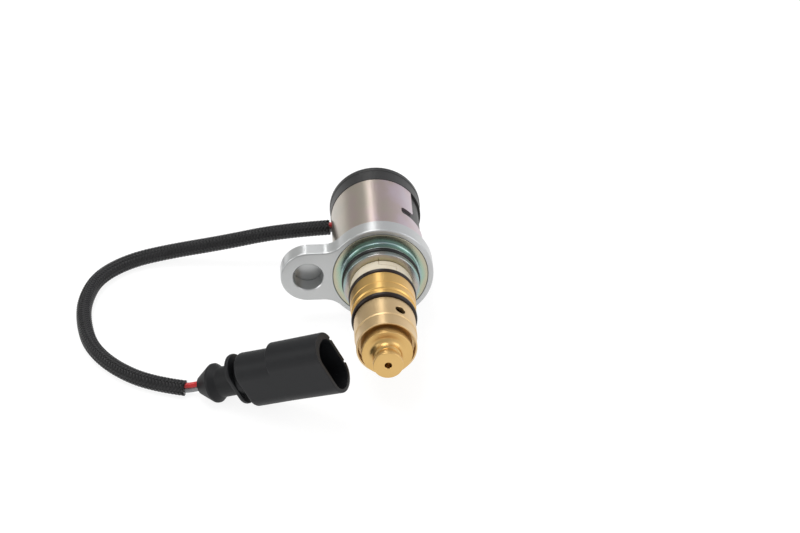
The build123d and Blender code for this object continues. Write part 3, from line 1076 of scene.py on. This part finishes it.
white = piece(
    "white_back_up_ring",
    carved(
        turned(
            [
                (neck_radius + 0.04, white_rear),
                (white_ring_radius, white_rear, 0.2),
                (white_ring_radius, white_front, 0.25),
                (neck_radius + 0.04, white_front),
            ]
        ),
        ring_cut(cut_from, cut_from, white_rear - 1, cut_station + cut_half),
        ring_cut(cut_from, cut_to, cut_station - cut_half, cut_station + cut_half),
        ring_cut(cut_to, cut_to, cut_station - cut_half, white_front + 1),
    ),
    valve_frame,
    ring_white,
)
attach(white, "valve")
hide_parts("white_ring")


# The valve body: one turned piece of golden brass. It holds both grooves of its rubber rings,
# the bright land between them with a port on its underside, and the chamber of the valve seat.
land_rear = 13.1
land_front = 21.4
land_step = 18.0
land_step_depth = 0.12
land_front_edge = 0.45
front_neck_radius = 7.85
shoulder_radius = 9.15
front_spigot = 7.4
sleeve_rear = 25.1
spigot_front = 27.7
rod_bore = 1.6
chamber_radius = 5.5
chamber_rear = 9.5
seat_front = 21.4
front_chamber = 6.4
port_radius = 1.25
port_station = 16.3

brass_golden = turned_metal("brass_golden", colour(210, 166, 92), colour(226, 188, 118), 0.33)
body = piece(
    "valve_body_turned",
    carved(
        turned(
            [
                (rod_bore, 0.5),
                (body_spigot, 0.5),
                (body_spigot, boss_height),
                (neck_radius, boss_height, 0.1),
                (neck_radius, land_rear),
                (land_radius, land_rear, 0.25),
                (land_radius, land_step, 0.05),
                (land_radius - land_step_depth, land_step + land_step_depth),
                (land_radius - land_step_depth, land_front - land_front_edge, 0.1),
                (shoulder_radius, land_front - 0.1, 0.2),
                (shoulder_radius, front_ring_station - groove_half, 0.1),
                (front_neck_radius, front_ring_station - groove_half, 0.1),
                (front_neck_radius, sleeve_rear),
                (front_spigot, sleeve_rear),
                (front_spigot, spigot_front),
                (front_chamber, spigot_front),
                (front_chamber, seat_front),
                (chamber_radius, seat_front),
                (chamber_radius, chamber_rear),
                (rod_bore, chamber_rear),
            ]
        ),
        drill(port_radius, port_station, 180, land_radius),
    ),
    valve_frame,
    brass_golden,
)
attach(body, "valve")
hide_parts("valve_body")


# The nose sleeve: a tube of paler brass pressed on the body, with a rounded rear lip, a slight
# waist near its front, a thin bright rim and two cross holes to the chamber of the bellows.
sleeve_front = 38.8
waist_radius = 8.85
waist_station = 34.0
rim_bore = 8.35
rim_floor = 36.4
relief_radius = 8.0
plug_rear = 35.0
cross_hole = 1.6
cross_station = 31.0
cross_turn = 29.0

brass_pale = turned_metal("brass_pale", colour(208, 178, 132), colour(222, 194, 148), 0.38)
nose = piece(
    "nose_sleeve_turned",
    carved(
        turned(
            [
                (front_spigot, sleeve_rear),
                (sleeve_radius - 0.1, sleeve_rear, 0.55),
                (sleeve_radius, sleeve_rear + 2.0),
                (sleeve_radius, waist_station - 0.4, 0.1),
                (waist_radius, waist_station, 0.1),
                (waist_radius, sleeve_front, 0.15),
                (rim_bore, sleeve_front, 0.08),
                (rim_bore, rim_floor, 0.2),
                (front_spigot + 0.02, rim_floor),
                (front_spigot, plug_rear),
                (relief_radius, plug_rear),
                (relief_radius, spigot_front),
                (front_spigot, spigot_front),
            ]
        ),
        drill(cross_hole, cross_station, cross_turn, sleeve_radius),
        drill(cross_hole, cross_station, cross_turn + 180, sleeve_radius),
    ),
    valve_frame,
    brass_pale,
)
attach(nose, "valve")
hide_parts("nose_sleeve")


# The nose plug: a turned brass cup that closes the sleeve. A flared neck carries its drilled
# head, which is dressed flat and a little duller than the neck.
plug_face = 41.5
plug_floor = 39.8
plug_cup = 6.1
neck_flare = 1.8
nose_neck = 4.0
nose_neck_end = 43.3
nose_groove = 3.4
head_rear = 45.6
head_radius = 4.35
nose_tip = 47.6
tip_hole = 1.03
tip_hole_depth = 5.0
stop_radius = 2.0
stop_length = 3.0

brass_plug = turned_metal("brass_plug", colour(206, 168, 104), colour(222, 186, 124), 0.36)
nose_plug = piece(
    "nose_plug_turned",
    turned(
        [
            (0, plug_floor - stop_length),
            (stop_radius, plug_floor - stop_length, 0.2),
            (stop_radius, plug_floor),
            (plug_cup, plug_floor),
            (plug_cup, plug_rear),
            (front_spigot, plug_rear),
            (front_spigot, plug_face, 0.2),
            (nose_neck, plug_face, neck_flare - 0.05),
            (nose_neck, nose_neck_end, 0.1),
            (nose_groove, nose_neck_end + 0.3, 0.1),
            (nose_groove, head_rear, 0.15),
            (head_radius, head_rear, 0.2),
            (head_radius, nose_tip, 0.25),
            (tip_hole + 0.08, nose_tip, 0.05),
            (tip_hole, nose_tip - 0.1),
            (tip_hole, nose_tip - tip_hole_depth),
            (0, nose_tip - tip_hole_depth - 0.5),
        ]
    ),
    valve_frame,
    brass_plug,
)
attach(nose_plug, "valve")
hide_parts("nose_plug")


# The plug at the lead's end lies with its mouth raised and turned a little. Its frame looks out
# of the mouth, with the mouth's long way down.
mouth = next(m for m in frame["record"]["mounts"] if m["name"] == "plug_mouth")
housing_mouth = 39.6
plug_roll = radians(9.1)
mouth_way = Vector(mouth["axis"])
plug_at = Vector(mouth["pos_m"]) - mouth_way * housing_mouth / 1000
long_way = (mouth_way * mouth_way.z - Vector((0, 0, 1))).normalized()
long_way.rotate(Matrix.Rotation(plug_roll, 3, mouth_way))
plug_axes = Matrix((long_way, mouth_way.cross(long_way), mouth_way)).transposed()
plug_frame = Matrix.Translation(plug_at) @ plug_axes.to_4x4()


def moulded(name, dark, light, roughness):
    """Matt black moulding with a fine spark-eroded grain and a little dust."""
    material, tree, shader = new_material(name, roughness)
    place = local_place(tree, plug_frame)
    grain = noise(tree, place, 4.0, 4.0, 0.65)
    cloud = noise(tree, place, 0.25, 2.0)
    dust = noise(tree, place, 1.7, 1.0).math("GREATER_THAN", 0.80)
    base = tree.blend(cloud * 0.6 + grain * 0.4, dark, light)
    tree.feed(shader.inputs["Base Color"], tree.blend(dust, base, colour(70, 70, 72)))
    shader.inputs["Specular IOR Level"].default_value = 0.3
    tree.feed(shader.inputs["Roughness"], roughness - 0.06 + grain * 0.12)
    bump(tree, shader, grain, 0.2, 0.00005)
    return material


# The rubber boot seals the wires into the plug's rear: a cone with a rounded rim, then a neck.
boot_black = moulded("boot_black", colour(13, 14, 15), colour(24, 25, 28), 0.55)
boot_radius = 5.8
boot_end_radius = 2.6
boot_cone = 5.5
boot_rim = 0.6
boot_neck = 4.5
housing_rear = 10.2
boot = piece(
    "plug_boot_moulded",
    turned(
        [
            (0, -boot_cone),
            (boot_end_radius, -boot_cone, 0.4),
            (boot_radius, -boot_rim, 0.5),
            (boot_radius, 0.1, 0.3),
            (boot_neck, 1.9, 0.5),
            (boot_neck, housing_rear),
            (0, housing_rear),
        ],
        96,
    ),
    plug_frame,
    boot_black,
)
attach(boot, "valve")
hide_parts("plug_boot")


# The retainer plate and the housing: both are moulded on an outline with straight sides and
# round ends. The housing steps out on its upper side for the lock, and its mouth is deep.
def slot_outline(width, height, shift=0.0, steps=32):
    reach = (width - height) / 2
    points = list(arc((shift + reach, 0), height / 2, -pi / 2, pi / 2, steps))
    points += arc((shift - reach, 0), height / 2, pi / 2, 3 * pi / 2, steps)
    return points


retainer_station = 7.4
retainer_thickness = 1.4
retainer_width = 16.6
retainer_height = 9.8
retainer_edge = 0.45
plug_black = moulded("plug_black", colour(14, 15, 17), colour(25, 26, 29), 0.5)

plate = bmesh.new()
plate_rings = []
for inset, station in (
    (retainer_edge, 0),
    (0.12, 0.12),
    (0, retainer_edge),
    (0, retainer_thickness - retainer_edge),
    (0.12, retainer_thickness - 0.12),
    (retainer_edge, retainer_thickness),
):
    points = slot_outline(retainer_width - 2 * inset, retainer_height - 2 * inset)
    plate_rings.append(ring_of(plate, points, retainer_station + station))
skin(plate, plate_rings)
plate.faces.new(plate_rings[0])
plate.faces.new(plate_rings[-1])
retainer = piece("plug_retainer_moulded", plate, plug_frame, plug_black)
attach(retainer, "valve")
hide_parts("plug_retainer")

housing_step = 21.8
housing_width = 20.3
housing_height = 10.7
housing_taper = 0.6
step_depth = 1.8
rear_edge = 1.2
mouth_wall = 1.25
mouth_end_wall = 2.4
mouth_depth = 14.0
keyway_width = 1.1
keyway_depth = 0.8
keyway_length = 2.5
keyway_offset = 4.55
step_width = housing_width - housing_taper
rear_width = step_width - step_depth
rear_height = housing_height - housing_taper / 2
inner_width = housing_width - mouth_wall - mouth_end_wall
inner_height = housing_height - 2 * mouth_wall
inner_shift = (mouth_end_wall - mouth_wall) / 2

housing = bmesh.new()
sections = [
    (rear_width - 2 * rear_edge * (1 - sin(t)), rear_height - 2 * rear_edge * (1 - sin(t)), step_depth / 2, housing_rear + rear_edge * (1 - cos(t)))
    for t in quarter
]
sections += [
    (rear_width, rear_height, step_depth / 2, housing_step),
    (step_width - 0.2, rear_height, 0.0, housing_step + step_depth * 0.3),
    (step_width, rear_height, 0.0, housing_step + step_depth * 0.36),
    (housing_width, housing_height, 0.0, housing_mouth - 0.25),
    (housing_width - 0.14, housing_height - 0.14, 0.0, housing_mouth - 0.07),
    (housing_width - 0.5, housing_height - 0.5, 0.0, housing_mouth),
    (inner_width + 0.3, inner_height + 0.3, inner_shift, housing_mouth),
    (inner_width, inner_height, inner_shift, housing_mouth - 0.3),
    (inner_width - 0.3, inner_height - 0.3, inner_shift, housing_mouth - mouth_depth),
]
housing_rings = [
    ring_of(housing, slot_outline(width, height, shift), station)
    for width, height, shift, station in sections
]
skin(housing, housing_rings)
housing.faces.new(housing_rings[0])
housing.faces.new(housing_rings[-1])
keyways = []
for side in (-1, 1):
    keyway = bmesh.new()
    bmesh.ops.create_cube(keyway, size=1)
    bmesh.ops.transform(
        keyway,
        matrix=Matrix.Translation((side * keyway_offset, housing_height / 2, housing_mouth))
        @ Matrix.Diagonal((keyway_width, 2 * keyway_depth, 2 * keyway_length, 1)),
        verts=keyway.verts,
    )
    keyways.append(keyway)
shell = piece("plug_housing_moulded", carved(housing, *keyways), plug_frame, plug_black)
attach(shell, "valve")
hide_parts("plug_housing")


# The two wires: red and grey insulation, bare of the sleeve for a few millimetres at the can and
# at the plug. They are bent a little where they enter, and run on inside the sleeve's open end.
def insulation(name, dark, light):
    material, tree, shader = new_material(name, 0.32)
    smear = noise(tree, millimetres(tree), 0.8, 3.0)
    tree.feed(shader.inputs["Base Color"], tree.blend(smear, dark, light))
    tree.feed(shader.inputs["Roughness"], 0.26 + smear * 0.16)
    return material


wire_radius = 0.8
wire_gap = Vector((0, 0, 0.00086))
wire_red = insulation("wire_red", colour(176, 20, 24), colour(214, 40, 42))
wire_grey = insulation("wire_grey", colour(140, 142, 144), colour(172, 174, 176))


def tube(points, radius, sides=20):
    """A tube along points in metres, its radius in metres."""
    shape = bmesh.new()
    rings = []
    for index, point in enumerate(points):
        way = points[min(index + 1, len(points) - 1)] - points[max(index - 1, 0)]
        turn = way.to_track_quat("Z", "Y").to_matrix()
        section = [2 * pi * side / sides for side in range(sides)]
        rings.append(
            [
                shape.verts.new((point + turn @ Vector((cos(s), sin(s), 0)) * radius) * 1000)
                for s in section
            ]
        )
    skin(shape, rings)
    shape.faces.new(rings[0])
    shape.faces.new(rings[-1])
    return shape


def wire(name, node, start, start_way, end, end_way, material):
    """A bare stretch of wire as a smooth curve between two points with their ways."""
    reach = (end - start).length * 0.4
    inner, outer = start + start_way * reach, end - end_way * reach
    points = []
    for step in range(17):
        t = step / 16
        u = 1 - t
        points.append(start * u**3 + inner * 3 * u * u * t + outer * 3 * u * t * t + end * t**3)
    made = piece(name, tube(points, wire_radius / 1000), Matrix.Identity(4), material)
    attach(made, "valve")
    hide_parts(node)
    return made


sleeve_tuck = 0.0018
gland_way = valve_turn @ Vector((sin(radians(notch_turn)), cos(radians(notch_turn)), 0))
gland_point = lead_path[0] - gland_way * 0.0016
lead_start_way = (lead_path[1] - lead_path[0]).normalized()
lead_end_way = (lead_path[-1] - lead_path[-2]).normalized()
boot_point = plug_frame @ Vector((0, 0, -boot_cone * 0.001 + 0.0004))
for side, paint, kind in ((1, wire_red, "red"), (-1, wire_grey, "grey")):
    offset = wire_gap * side
    wire(
            f"{kind}_wire_at_can",
            f"wire_{kind}_valve",
            gland_point + offset,
            gland_way,
            lead_path[0] + lead_start_way * sleeve_tuck + offset,
            lead_start_way,
            paint,
        )
    wire(
            f"{kind}_wire_at_plug",
            f"wire_{kind}_plug",
            lead_path[-1] - lead_end_way * sleeve_tuck + offset,
            lead_end_way,
            boot_point + offset,
            mouth_way,
            paint,
        )


# The pieces inside, which show only when the valve is taken apart: plain turned steel, the
# enamelled copper of the coil, its pale bobbin, the bronze bellows and the plug's tinned blades.
def inner_finish(name, dark, light, roughness, metallic):
    material, tree, shader = new_material(name, roughness, metallic)
    place = local_place(tree, valve_frame)
    parts = tree.add("ShaderNodeSeparateXYZ", sockets={0: place})
    marks = noise(
        tree, tree.add("ShaderNodeCombineXYZ", sockets={"X": parts.other("Z") * 6.0}), 1.0, 3.0
    )
    tree.feed(shader.inputs["Base Color"], tree.blend(marks, dark, light))
    tree.feed(shader.inputs["Roughness"], roughness - 0.05 + marks * 0.1)
    bump(tree, shader, marks, 0.3, 0.00003)
    return material


steel = inner_finish("turned_steel", colour(150, 150, 152), colour(190, 190, 192), 0.3, 1.0)
copper = inner_finish("coil_copper", colour(150, 70, 34), colour(204, 116, 66), 0.35, 1.0)
bobbin = inner_finish("bobbin_cream", colour(196, 190, 172), colour(214, 208, 192), 0.5, 0.0)
bronze = inner_finish("bellows_bronze", colour(160, 124, 78), colour(196, 156, 104), 0.3, 1.0)
tinned = inner_finish("blade_tin", colour(150, 152, 156), colour(196, 198, 202), 0.35, 1.0)
for finish, nodes in (
    (
        steel,
        (
            "rear_yoke",
            "guide_tube",
            "fixed_core",
            "plunger",
            "plunger_spring",
            "drive_rod",
            "valve_seat",
        ),
    ),
    (copper, ("coil_winding",)),
    (bobbin, ("coil_bobbin",)),
    (bronze, ("sensing_bellows",)),
    (tinned, ("contact_blade_upper", "contact_blade_lower")),
):
    for node in nodes:
        frame["nodes"][node].material_slots[0].material = finish
